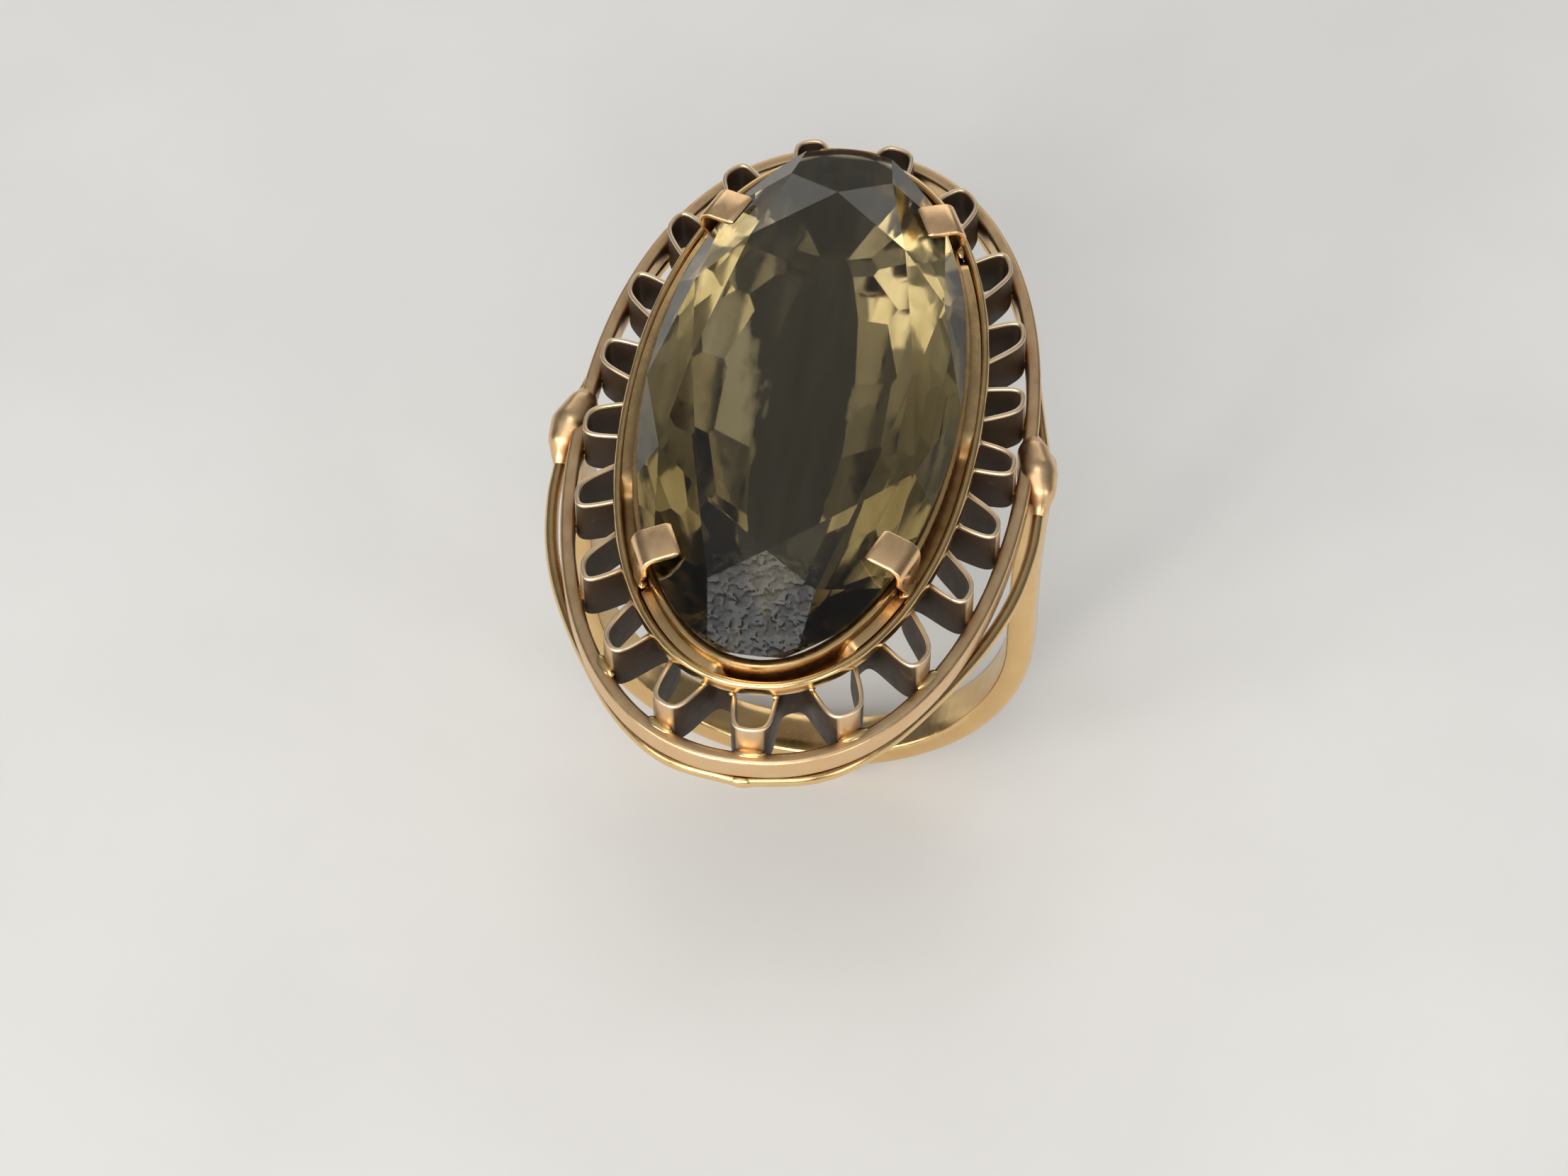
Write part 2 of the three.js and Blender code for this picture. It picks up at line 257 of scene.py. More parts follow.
def lump(centre, axes, radii, seed, rings=8, sides=12, rough=0.18):
    """A small uneven bead of solder with its three axes and radii."""
    draw = random.Random(seed)
    shift = Vector((draw.uniform(-9, 9), draw.uniform(-9, 9), draw.uniform(-9, 9)))
    rows = []
    for i in range(1, rings):
        polar = math.pi * i / rings
        row = []
        for j in range(sides):
            angle = TURN * j / sides
            unit = Vector((
                math.sin(polar) * math.cos(angle), math.sin(polar) * math.sin(angle), math.cos(polar)))
            swell = 1 + rough * noise.noise(unit * 1.6 + shift)
            point = centre.copy()
            for axis, radius, part in zip(axes, radii, unit):
                point += axis * (radius * part * swell)
            row.append(point)
        rows.append(row)
    return skin(rows, False)


# Materials

QUARTZ_IOR = 1.545
# A paler gold, painted on a strip's top edge as a painted highlight.
EDGE_HIGHLIGHT_GOLD = (0.96, 0.76, 0.52)
# Height over which a strip's painted shade deepens downwards.
STRIP_FADE = 1.3
# Share of a strip's painted shade kept on its outer bends, which are painted lighter where they catch the
# front light.
LIT_BEND_SHADE_SHARE = 0.15

# Limits of the stone's zones, each fading from its first value to its second. The dark zone is
# painted shade for the dark seen through the stone's middle, and is DARK_WIDER_BY wider on each side
# towards +Y.
UNDERSIDE = (RAIL_TOP + 2.3, RAIL_TOP + 2.6)
DARK_HALF_WIDTH = (1.8, 2.4)
DARK_WIDENS = (2.0, 7.0)
DARK_WIDER_BY = 2.0
SCUFF_END = (-10.1, -9.8)
SCUFF_HALF_WIDTH = (2.0, 2.4)
SCUFF_ABOVE = (RAIL_TOP + 2.6, RAIL_TOP + 2.8)


class Nodes:
    """Short calls for building one material's node tree."""

    def __init__(self, name):
        self.material = bpy.data.materials.new(name)
        self.material.use_nodes = True
        self.tree = self.material.node_tree
        self.tree.nodes.clear()
        self.output = self.add("ShaderNodeOutputMaterial")
        self.shader = self.add("ShaderNodeBsdfPrincipled")
        self.link(self.shader.outputs[0], self.output.inputs["Surface"])

    def add(self, kind, **values):
        node = self.tree.nodes.new(kind)
        for key, value in values.items():
            setattr(node, key, value)
        return node

    def link(self, output, socket):
        self.tree.links.new(output, socket)

    def place(self, scale, turn=(0, 0, 0)):
        """Object coordinates in millimetres, stretched by scale."""
        coordinates = self.add("ShaderNodeTexCoord")
        mapping = self.add("ShaderNodeMapping")
        mapping.inputs["Rotation"].default_value = turn
        mapping.inputs["Scale"].default_value = [value / MM for value in scale]
        self.link(coordinates.outputs["Object"], mapping.inputs["Vector"])
        return mapping.outputs[0]

    def noise(self, scale, detail=3.0, turn=(0, 0, 0), roughness=0.5, distortion=0.0):
        node = self.add("ShaderNodeTexNoise")
        node.inputs["Scale"].default_value = 1.0
        node.inputs["Detail"].default_value = detail
        node.inputs["Roughness"].default_value = roughness
        node.inputs["Distortion"].default_value = distortion
        self.link(self.place(scale, turn), node.inputs["Vector"])
        return node.outputs["Fac"]

    def ranged(self, value, low, high, to_low, to_high):
        node = self.add("ShaderNodeMapRange")
        self.link(value, node.inputs["Value"])
        for key, number in (
            ("From Min", low), ("From Max", high), ("To Min", to_low), ("To Max", to_high),
        ):
            node.inputs[key].default_value = number
        return node.outputs[0]

    def math(self, operation, first, second):
        node = self.add("ShaderNodeMath", operation=operation)
        for socket, value in zip(node.inputs, (first, second)):
            if isinstance(value, (int, float)):
                socket.default_value = value
            else:
                self.link(value, socket)
        return node.outputs[0]

    def mix(self, factor, first, second):
        node = self.add("ShaderNodeMix", data_type="RGBA")
        colours = [socket for socket in node.inputs if socket.type == "RGBA"]
        self.link(factor, node.inputs["Factor"])
        for socket, value in zip(colours, (first, second)):
            if isinstance(value, tuple):
                socket.default_value = (*value, 1)
            else:
                self.link(value, socket)
        return next(socket for socket in node.outputs if socket.type == "RGBA")

    def axes(self):
        """The object's X, Y and Z in millimetres."""
        split = self.add("ShaderNodeSeparateXYZ")
        self.link(self.place((1, 1, 1)), split.inputs[0])
        return split.outputs

    def bump(self, height, distance, strength=1.0, below=None):
        node = self.add("ShaderNodeBump")
        node.inputs["Strength"].default_value = strength
        node.inputs["Distance"].default_value = distance * MM
        self.link(height, node.inputs["Height"])
        if below is not None:
            self.link(below, node.inputs["Normal"])
        return node.outputs[0]


def behind_rail(n, axes):
    """1 well inside the base rail, and the small share set above on a face that touches its inner wall:
    those outer bends keep little painted shade, painted lighter where they catch the front light.
    """
    reach = None
    for axis, half in ((0, RAIL_OVAL.half_width), (1, RAIL_OVAL.half_length)):
        part = n.math("MULTIPLY", n.math("ABSOLUTE", axes[axis], 0), 1 / (half - RAIL_BAND))
        part = n.math("POWER", part, RAIL_OVAL.fullness)
        reach = part if reach is None else n.math("ADD", reach, part)
    return n.ranged(reach, 0.978, 0.990, 1.0, LIT_BEND_SHADE_SHARE)


def strip_shade_and_highlight(n, shade, shade_patches, tint, top):
    """Painted shade that deepens down a strip in patches, with a paler painted highlight on its upper
    edge, and its outer bends painted lighter where they catch the front light.
    """
    axes = n.axes()
    # Painted shade, deepest at the strip's bottom and lightest at its top.
    deep = n.ranged(axes[2], top - STRIP_FADE, top, 0.85, 0.30)
    below = n.ranged(axes[2], top, top + 0.08, 1, 0)
    shade = n.math("MULTIPLY", n.math("MAXIMUM", shade, n.math("MULTIPLY", deep, shade_patches)), 1.3)
    shade = n.math("MULTIPLY", n.math("MINIMUM", shade, 1.0), below)
    shade = n.math("MULTIPLY", shade, behind_rail(n, axes))
    # Shaded places turn from metal to a dark non-metal with weak reflections, which deepens the painted
    # shade.
    n.link(n.math("SUBTRACT", 1.0, shade), n.shader.inputs["Metallic"])
    n.shader.inputs["Specular IOR Level"].default_value = 0.15
    return shade, n.mix(below, EDGE_HIGHLIGHT_GOLD, tint)


def gold(name, colour, warm, dark, gloss, grain, reach, unshaded_openness=0.95, highlight_above=None):
    """Hand-polished gold: colour and polish vary, with fine scratches and painted shade in crevices.

    gloss is the least and greatest roughness, and grain is how strongly scratches show.
    reach is how wide the painted shade in a crevice spreads, and the next argument is how open a
    place must be to stay bright; dark is the colour of the painted shade. A strip given a height as
    the last argument gets painted shade deepening down it, and a paler painted highlight above that
    height.
    """
    n = Nodes(name)
    n.shader.inputs["Metallic"].default_value = 1.0
    patches = n.noise((0.9, 0.6, 1.1), detail=4)
    tint = n.mix(n.ranged(patches, 0.35, 0.7, 0, 1), colour, warm)
    # Painted shade: the colour darkens towards dark in crevices, found by ambient occlusion, in noisy
    # patches.
    crevice = n.add("ShaderNodeAmbientOcclusion", samples=8)
    crevice.inputs["Distance"].default_value = reach * MM
    open_share = n.ranged(crevice.outputs["AO"], unshaded_openness - 0.55, unshaded_openness, 0, 1)
    shade_patches = n.ranged(n.noise((1.5, 1.5, 1.5), detail=4), 0.3, 0.7, 0.75, 1.0)
    shade = n.math("MULTIPLY", n.math("SUBTRACT", 1.0, open_share), shade_patches)
    # A strip gets painted shade below its top edge and a painted highlight above it.
    if highlight_above is not None:
        shade, tint = strip_shade_and_highlight(n, shade, shade_patches, tint, highlight_above)
    n.link(n.mix(shade, tint, dark), n.shader.inputs["Base Color"])

    smear = n.noise((2.2, 1.4, 2.6), detail=5, roughness=0.6)
    fine = n.noise((26, 7, 26), detail=2, turn=(0.3, 0.2, 0.5))
    polish = n.math("ADD", n.math("MULTIPLY", smear, 0.85), n.math("MULTIPLY", fine, 0.15))
    rough = n.ranged(polish, 0.32, 0.68, gloss[0], gloss[1])
    n.link(n.math("ADD", rough, n.math("MULTIPLY", shade, 0.12)), n.shader.inputs["Roughness"])

    dents = n.bump(n.noise((1.1, 0.8, 1.1), detail=1), 0.03, 0.4)
    scratch_a = n.noise((60, 2.5, 60), detail=2, turn=(0.1, 0.3, 0.7))
    scratch_b = n.noise((3, 55, 55), detail=2, turn=(0.5, 0.1, -0.4))
    scratches = n.bump(n.math("ADD", scratch_a, scratch_b), 0.004, grain, dents)
    n.link(scratches, n.shader.inputs["Normal"])
    return n.material


def underside_and_painted_dark(n):
    """Shares of the stone's underside and of the dark zone along its middle, which is painted shade."""
    axes = n.axes()
    edge = n.ranged(n.noise((0.9, 0.35, 0.9), detail=3), 0.3, 0.7, -0.5, 0.5)
    across = n.math("ABSOLUTE", n.math("ADD", axes[0], edge), 0)
    wider = n.ranged(axes[1], *DARK_WIDENS, 0.0, DARK_WIDER_BY)
    middle = n.ranged(n.math("SUBTRACT", across, wider), *DARK_HALF_WIDTH, 1, 0)
    under = n.ranged(axes[2], *UNDERSIDE, 1, 0)
    return under, n.math("MULTIPLY", middle, under)


def near_end(n):
    """1 on the facet at the -Y end of the crown, which is scuffed."""
    axes = n.axes()
    end = n.ranged(axes[1], *SCUFF_END, 1, 0)
    across = n.math("ABSOLUTE", axes[0], 0)
    end = n.math("MULTIPLY", end, n.ranged(across, *SCUFF_HALF_WIDTH, 1, 0))
    return n.math("MULTIPLY", end, n.ranged(axes[2], *SCUFF_ABOVE, 0, 1))


def smoky_quartz():
    """Smoky glass-like stone, with painted shade in a long dark zone low in its middle."""
    n = Nodes("smoky_quartz")
    n.shader.inputs["Transmission Weight"].default_value = 1.0
    n.shader.inputs["IOR"].default_value = QUARTZ_IOR
    veil = n.noise((1.1, 0.16, 1.1), detail=2, distortion=0.4)
    clear = n.mix(n.ranged(veil, 0.38, 0.62, 0, 1), (0.98, 0.96, 0.90), (0.70, 0.65, 0.50))
    under, middle = underside_and_painted_dark(n)
    smoky = n.mix(under, clear, (0.34, 0.29, 0.15))
    # The dark zone's near-black colour is painted shade, for the dark seen through the stone's middle.
    n.link(n.mix(middle, smoky, (0.006, 0.0055, 0.004)), n.shader.inputs["Base Color"])
    scuffed = near_end(n)
    blotches = n.noise((2.6, 2.6, 2.6), detail=1)
    smear = n.noise((1.5, 0.8, 1.5), detail=5, roughness=0.65)
    dull = n.math("MULTIPLY", n.ranged(blotches, 0.44, 0.54, 0, 0.22), scuffed)
    n.link(n.math("ADD", n.ranged(smear, 0.4, 0.7, 0.04, 0.13), dull), n.shader.inputs["Roughness"])
    worn = n.bump(n.noise((3.0, 1.2, 3.0), detail=2, turn=(0.2, 0, 0.4)), 0.004, 0.25)
    pits = n.math("MULTIPLY", n.math("SUBTRACT", blotches, 0.5), scuffed)
    n.link(n.bump(pits, 0.065, 1.0, worn), n.shader.inputs["Normal"])
    absorb = n.add("ShaderNodeVolumeAbsorption")
    absorb.inputs["Color"].default_value = (0.56, 0.46, 0.14, 1)
    absorb.inputs["Density"].default_value = 150
    n.link(absorb.outputs[0], n.output.inputs["Volume"])
    return n.material


YELLOW = gold(
    "yellow_gold", (0.82, 0.58, 0.27), (0.79, 0.52, 0.25), (0.24, 0.11, 0.03),
    gloss=(0.13, 0.29), grain=0.3, reach=0.7)
RAIL_GOLD = gold(
    "rail_gold", (0.80, 0.56, 0.31), (0.78, 0.51, 0.28), (0.24, 0.11, 0.04),
    gloss=(0.24, 0.42), grain=0.4, reach=0.7)
ROSE = gold(
    "rose_gold", (0.97, 0.66, 0.36), (0.94, 0.61, 0.33), (0.22, 0.10, 0.05),
    gloss=(0.19, 0.34), grain=0.15, reach=0.6)
# The ribbon's near-black dark colour is painted shade on its walls, and its top edge gets a painted
# highlight.
RIBBON_GOLD = gold(
    "ribbon_gold", (0.78, 0.56, 0.34), (0.74, 0.50, 0.29), (0.040, 0.024, 0.014),
    gloss=(0.26, 0.40), grain=0.2, reach=2.8, unshaded_openness=1.38,
    highlight_above=top_of("gallery_ribbon").z - 0.14)
SOLDER = gold(
    "gold_solder", (0.88, 0.66, 0.32), (0.84, 0.58, 0.27), (0.30, 0.15, 0.04),
    gloss=(0.14, 0.30), grain=0.2, reach=0.4)
QUARTZ = smoky_quartz()

# Rims


def rim_frames(oval, offset, height, seed, sway=0.03, lift=0.015):
    """Frames round an oval, `offset` outside it, with the slight sway of hand work."""
    frames = []
    for i in range(OVAL_STEPS):
        arc = i / OVAL_STEPS
        share = oval.share_at(arc)
        point = oval.outside(share, offset + wobble(arc, seed, sway))
        point.z = RAIL_TOP + height + wobble(arc, seed + 1, lift)
        frames.append((point, oval.normal(share), UP))
    return frames


def plain_rim(oval, band, low, high, radius, seed, sway=0.02):
    """A band with rounded corners that runs round an oval, `band` wide inwards."""
    frames = rim_frames(oval, -band / 2 - sway, (low + high) / 2, seed, sway)
    sections = []
    for i in range(OVAL_STEPS):
        arc = i / OVAL_STEPS
        width = band - 2 * sway + wobble(arc, seed + 2, sway / 2)
        height = high - low - SWAY_ROOM + wobble(arc, seed + 3, 0.012)
        sections.append(rounded(width, height, radius, 4))
    return swept(frames, sections, True)


def bearing_shape():
    """The inner rim, with the slope that the stone's edge rests on."""
    frames = rim_frames(BEARING_OVAL, 0, 0, 21, 0.012)
    section = [
        (-0.02, RIM_FOOT), (-0.01, SEAT_HEIGHT - 0.10), (-0.03, SEAT_HEIGHT - 0.04),
        (-0.09, SEAT_HEIGHT - 0.01), (-0.22, SEAT_HEIGHT), (-0.31, SEAT_HEIGHT - 0.01),
        (-0.38, SEAT_HEIGHT - 0.05), (-0.56, SEAT_HEIGHT - 0.24), (-0.60, SEAT_HEIGHT - 0.34),
        (-0.58, RIM_FOOT),
    ]
    return swept(frames, [section] * OVAL_STEPS, True)


make("base_rail_fine", plain_rim(RAIL_OVAL, RAIL_BAND, -RAIL_HEIGHT, 0, RAIL_CORNER, 3),
     RAIL_GOLD, ["base_rail"])
make("collet_rim_fine", plain_rim(COLLET_OVAL, COLLET_BAND, RIM_FOOT, COLLET_HEIGHT, COLLET_CORNER, 7),
     YELLOW, ["collet_rim"])
make("bearing_rim_fine", bearing_shape(), YELLOW, ["bearing_rim"])

# Gallery ribbon

# The drift and phase move the loops off an even spacing on the +X side. A loop passes under the
# rims RIBBON_CROSSING of a loop away from its outermost point.
LOOPS = 21
RIBBON_BOX = (bottom_of("gallery_ribbon").z, top_of("gallery_ribbon").z)
RIBBON_INNER = Oval(6.55, 13.95)
RIBBON_SQUARENESS = 1.95
RIBBON_THICKNESS = 0.19
RIBBON_DRIFT = 0.9
RIBBON_PHASE = 0.3
RIBBON_STEPS = 44
RIBBON_CROSSING = 0.285


def ribbon_point(arc):
    """Centre of the strip, which swings out to the rail and back once in each loop."""
    wave = math.cos(TURN * LOOPS * arc)
    outward = 0.5 + 0.5 * math.tanh(RIBBON_SQUARENESS * wave) / math.tanh(RIBBON_SQUARENESS)
    side = math.sin(2 * TURN * arc + RIBBON_PHASE) if arc < 0.5 else RIBBON_PHASE
    share = RAIL_OVAL.share_at(arc + RIBBON_DRIFT * side / RAIL_OVAL.table[-1])
    outer = RAIL_OVAL.outside(share, -RAIL_BAND - JOINT_GAP - RIBBON_THICKNESS / 2)
    return RIBBON_INNER.point(share).lerp(outer, outward), share


def ribbon_shape():
    count = LOOPS * RIBBON_STEPS
    points = [ribbon_point(i / count)[0] for i in range(count)]
    frames, sections = [], []
    middle = sum(RIBBON_BOX) / 2
    tall = RIBBON_BOX[1] - RIBBON_BOX[0]
    for i, point in enumerate(points):
        along = (points[(i + 1) % count] - points[i - 1]).normalized()
        across = along.cross(UP)
        arc = i / count
        lean = wobble(arc, 31, 0.03)
        origin = Vector((point.x, point.y, middle + wobble(arc, 32, 0.01)))
        frames.append((origin, across, (UP + across * lean).normalized()))
        thick = RIBBON_THICKNESS + wobble(arc, 33, 0.018)
        sections.append(rounded(thick, tall - SWAY_ROOM, 0.07, 3))
    return swept(frames, sections, True)


make("gallery_ribbon_fine", ribbon_shape(), RIBBON_GOLD, ["gallery_ribbon"])


def ribbon_solder():
    """Beads where each loop meets the rail, and smaller ones where it passes under the rims.

    The beads on the rail are fullest and highest at the -Y end.
    """
    parts = []
    draw = random.Random(5)
    for loop in range(LOOPS):
        point, share = ribbon_point(loop / LOOPS)
        normal = RAIL_OVAL.normal(share)
        along = UP.cross(normal)
        near = share_between(-point.y, 6, 12)
        size = draw.uniform(0.85, 1.15) * (0.5 + 0.5 * near)
        centre = RAIL_OVAL.outside(share, -RAIL_BAND + 0.08) + along * draw.uniform(-0.08, 0.08)
        centre.z = RAIL_TOP - 0.3 + 0.26 * near
        parts.append(lump(centre, (along, normal, UP), (0.6 * size, 0.27, 0.12), 100 + loop))
        centre = centre.copy() - normal * 0.1
        centre.z = RAIL_TOP - 0.75
        parts.append(lump(centre, (along, normal, UP), (0.6 * size, 0.26, 0.22), 200 + loop))
        for side in (-1, 1):
            crossing, _ = ribbon_point((loop + side * RIBBON_CROSSING) / LOOPS)
            crossing.z = RIBBON_BOX[1] + 0.02
            outwards = Vector((crossing.x, crossing.y, 0)).normalized()
            axes = (UP.cross(outwards), outwards, UP)
            parts.append(lump(crossing, axes, (0.15, 0.15, 0.09), 300 + loop * 2 + side))
    return joined(parts)


make("ribbon_solder", ribbon_solder(), SOLDER)

# Solder in the groove between the rims. It fills the groove to the brim along the FILLED stretches,
# which are shares of the oval, and falls away over FILL_FADE at their ends.

FILL_FADE = 0.012
FILLED = ((0.875, 0.975), (0.085, 0.142), (0.24, 0.36), (0.635, 0.805))
GROOVE_OVAL = Oval(
    (COLLET_OVAL.half_width - COLLET_BAND + BEARING_OVAL.half_width) / 2,
    (COLLET_OVAL.half_length - COLLET_BAND + BEARING_OVAL.half_length) / 2,
    2.06,
)


def fill_share(share):
    """1 where the groove is full of solder, 0 where it is open, and between at the ends."""
    best = 0.0
    for start, end in FILLED:
        inside = min(share - start, end - share)
        best = max(best, min(1.0, max(0.0, 0.5 + inside / FILL_FADE)))
    return eased(best)


def groove_shape():
    frames, sections = [], []
    for i in range(OVAL_STEPS):
        arc = i / OVAL_STEPS
        share = GROOVE_OVAL.share_at(arc)
        full = fill_share(share)
        floor = RIM_FOOT + 0.14 + wobble(arc, 41, 0.02)
        brim = COLLET_HEIGHT - 0.02 + wobble(arc, 42, 0.03)
        high = floor + (brim - floor) * full
        point = GROOVE_OVAL.point(share)
        point.z = RAIL_TOP
        frames.append((point, GROOVE_OVAL.normal(share), UP))
        sections.append([
            (0.24, RIM_FOOT), (0.24, high - 0.04), (0.1, high - 0.01), (-0.1, high + 0.03 * full),
            (-0.24, high + 0.1 * full), (-0.24, RIM_FOOT),
        ])
    return swept(frames, sections, True)


make("rim_solder", groove_shape(), YELLOW)

# Stone

STONE_HALF_WIDTH = top_of("stone").x
STONE_HALF_LENGTH = top_of("stone").y
TABLE_HEIGHT = top_of("stone").z - RAIL_TOP
TABLE_RATIO = 0.707
STAR_RATIO = 0.867
# The table's corners are counted from +X. At the uncut ones, which are the two ends, the main facet
# runs down to the girdle.
CROWN_CORNERS = 8
UNCUT_CORNERS = (2, 6)
GIRDLE_TOP = 2.95
GIRDLE_LOW = 2.62
GIRDLE_SIDES = 96
# Rims of the pavilion's rows: half width, half length, height, and how many facets hang from it.
PAVILION = (
    (STONE_HALF_WIDTH, STONE_HALF_LENGTH, GIRDLE_LOW, 32),
    (4.9, 12.1, 1.15, 20),
    (3.4, 10.8, -0.1, 20),
    (1.85, 9.4, -1.15, 16),
    (0.1, 7.0, -1.3, 0),
)
STONE_CENTRE = Vector((0, 0, RAIL_TOP + GIRDLE_LOW))


def facet(a, b, c):
    """The plane through three points as (normal, distance), facing away from the stone's centre."""
    normal = (b - a).cross(c - a).normalized()
    distance = normal.dot(a - STONE_CENTRE)
    return (normal, distance) if distance > 0 else (-normal, -distance)


def crown_planes():
    """The table, and an oval brilliant crown round it."""

    def at(ratio, angle, height):
        return Vector((
            STONE_HALF_WIDTH * ratio * math.cos(angle), STONE_HALF_LENGTH * ratio * math.sin(angle),
            RAIL_TOP + height))

    planes = [(UP.copy(), RAIL_TOP + TABLE_HEIGHT - STONE_CENTRE.z)]
    sector = TURN / CROWN_CORNERS
    slope = (TABLE_HEIGHT - GIRDLE_TOP) / (1 - TABLE_RATIO)
    star_height = GIRDLE_TOP + slope * (1 - STAR_RATIO * math.cos(sector / 2))
    for i in range(CROWN_CORNERS):
        angle = i * sector
        crown = at(TABLE_RATIO, angle, TABLE_HEIGHT)
        star = at(STAR_RATIO, angle + sector / 2, star_height)
        girdle = at(1, angle, GIRDLE_TOP)
        between = at(1, angle + sector / 2, GIRDLE_TOP)
        planes.append(facet(crown, star, girdle))
        planes.append(facet(crown, at(TABLE_RATIO, angle + sector, TABLE_HEIGHT), star))
        if i not in UNCUT_CORNERS:
            planes.append(facet(star, girdle, between))
        if (i + 1) % CROWN_CORNERS not in UNCUT_CORNERS:
            planes.append(facet(star, between, at(1, angle + sector, GIRDLE_TOP)))
    return planes


def girdle_planes():
    planes = []
    for i in range(GIRDLE_SIDES):
        angle = (i + 0.5) * TURN / GIRDLE_SIDES
        normal = Vector((math.cos(angle) / STONE_HALF_WIDTH, math.sin(angle) / STONE_HALF_LENGTH, 0))
        planes.append((normal.normalized(), 1 / normal.length))
    return planes


def pavilion_planes():
    planes = []
    for (width, length, height, count), below in zip(PAVILION, PAVILION[1:]):
        for i in range(count):
            angle = i * TURN / count
            cos, sin = math.cos(angle), math.sin(angle)
            rim = Vector((width * cos, length * sin, RAIL_TOP + height))
            along = Vector((-width * sin, length * cos, 0))
            under = Vector((below[0] * cos, below[1] * sin, RAIL_TOP + below[2]))
            planes.append(facet(rim, rim + along, under))
    return planes


STONE_PLANES = crown_planes() + girdle_planes() + pavilion_planes()


def stone_shape():
    """The convex solid inside the planes, one polygon for each facet.

    A plane is a point at its normal over its distance, and each face of the hull round these
    points is a corner of the stone.
    """
    hull = bmesh.new()
    duals = {}
    for index, (normal, distance) in enumerate(STONE_PLANES):
        duals[hull.verts.new(normal / distance)] = index
    bmesh.ops.convex_hull(hull, input=list(hull.verts))
    hull.normal_update()
    verts, faces, known = [], [], {}

    def corner(face):
        depth = face.normal.dot(face.verts[0].co)
        point = STONE_CENTRE + face.normal / depth
        key = tuple(round(value, 3) for value in point)
        if key not in known:
            known[key] = len(verts)
            verts.append(point)
        return known[key]

    for vert, index in duals.items():
        ring = sorted({corner(face) for face in vert.link_faces})
        if len(ring) < 3:
            continue
        normal = STONE_PLANES[index][0]
        middle = sum((verts[i] for i in ring), Vector()) / len(ring)
        first = (verts[ring[0]] - middle).normalized()
        second = normal.cross(first)
        ring.sort(key=lambda i: math.atan2(
            (verts[i] - middle).dot(second), (verts[i] - middle).dot(first)))
        faces.append(tuple(ring))
    hull.free()
    return verts, faces


def crown_height(x, y):
    """Height of the stone's crown above (x, y)."""
    best = math.inf
    for normal, distance in STONE_PLANES:
        if normal.z > 0.05:
            flat = normal.x * (x - STONE_CENTRE.x) + normal.y * (y - STONE_CENTRE.y)
            best = min(best, STONE_CENTRE.z + (distance - flat) / normal.z)
    return best


stone = make("stone_fine", stone_shape(), QUARTZ, ["stone"], crease=0)
soft_edges = stone.modifiers.new("worn_edges", "BEVEL")
soft_edges.width = 0.03 * MM
soft_edges.segments = 2
soft_edges.limit_method = "ANGLE"
soft_edges.angle_limit = math.radians(4)

# Claws

CLAW_WIDTH = 1.72
CLAW_THICKNESS = 0.26
CLAW_FOOT = 0.5
CLAW_WAIST = 1.9
CLAW_SHOULDER = 2.85
CLAW_STANDS_OUT = 0.08
CLAW_BEND_TOP = 3.78
CLAW_BEND_RADIUS = 0.45
CLAW_REACH = 1.12
CLAW_RISE = 0.12
# Each claw: its side in X, its side in Y, and how far along Y its foot stands.
CLAWS = {
    "front_left": (-1, -1, 9.75), "front_right": (1, -1, 8.85),
    "rear_left": (-1, 1, 9.45), "rear_right": (1, 1, 9.9),
}


def claw_path():
    """Centre line of a strap as (inward, height, direction) from its foot to its tip."""
    fold = math.atan2(CLAW_REACH, CLAW_RISE)
    top = CLAW_BEND_TOP - CLAW_THICKNESS / 2 - CLAW_BEND_RADIUS
    path = [(0, RIM_FOOT + (top - RIM_FOOT) * i / 14, 0.0) for i in range(14)]
    for i in range(9):
        turned = fold * i / 8
        path.append((
            CLAW_BEND_RADIUS * (1 - math.cos(turned)), top + CLAW_BEND_RADIUS * math.sin(turned), turned))
    inward, height, _ = path[-1]
    for i in range(1, 15):
        far = CLAW_REACH * i / 14
        path.append((inward + far * math.sin(fold), height + far * math.cos(fold), fold))
    return path


def claw_shape(side_x, side_y, distance, seed):
    """A strap that widens above its foot, and its foot's place and directions."""
    ratio = (distance / GROOVE_OVAL.half_length) ** (GROOVE_OVAL.fullness / 2)
    share = 0.25 + side_y * math.asin(ratio) / TURN
    if side_x < 0:
        share = 1 - share
    foot = GROOVE_OVAL.point(share)
    inward = -GROOVE_OVAL.normal(share)
    across = UP.cross(inward)
    foot = foot - inward * CLAW_STANDS_OUT
    path = claw_path()
    rows = []
    for i, (x, height, turned) in enumerate(path):
        outer = (UP * math.sin(turned) - inward * math.cos(turned)).normalized()
        rise = share_between(height, CLAW_WAIST, CLAW_SHOULDER) if turned == 0 else 1
        width = CLAW_FOOT + (CLAW_WIDTH - CLAW_FOOT) * rise
        thick = CLAW_THICKNESS
        end = len(path) - 1 - i
        if end < 3:
            width -= (0.16, 0.06, 0.015)[end]
            thick *= (0.45, 0.8, 0.95)[end]
        bow = 0.02 * noise.noise(Vector((x * 0.8, height * 0.8, seed)))
        origin = foot + inward * x + UP * (RAIL_TOP + height) + outer * bow
        row = []
        for u, v in rounded(width, thick, 0.09, 3):
            point = origin + across * u + outer * v
            bottom = crown_height(point.x, point.y) + 0.012 + (v + thick / 2) * 0.85
            if turned > 0.9 and point.z < bottom:
                point.z = bottom
            row.append(point)
        rows.append(row)
    return skin(rows, False), foot, inward, across


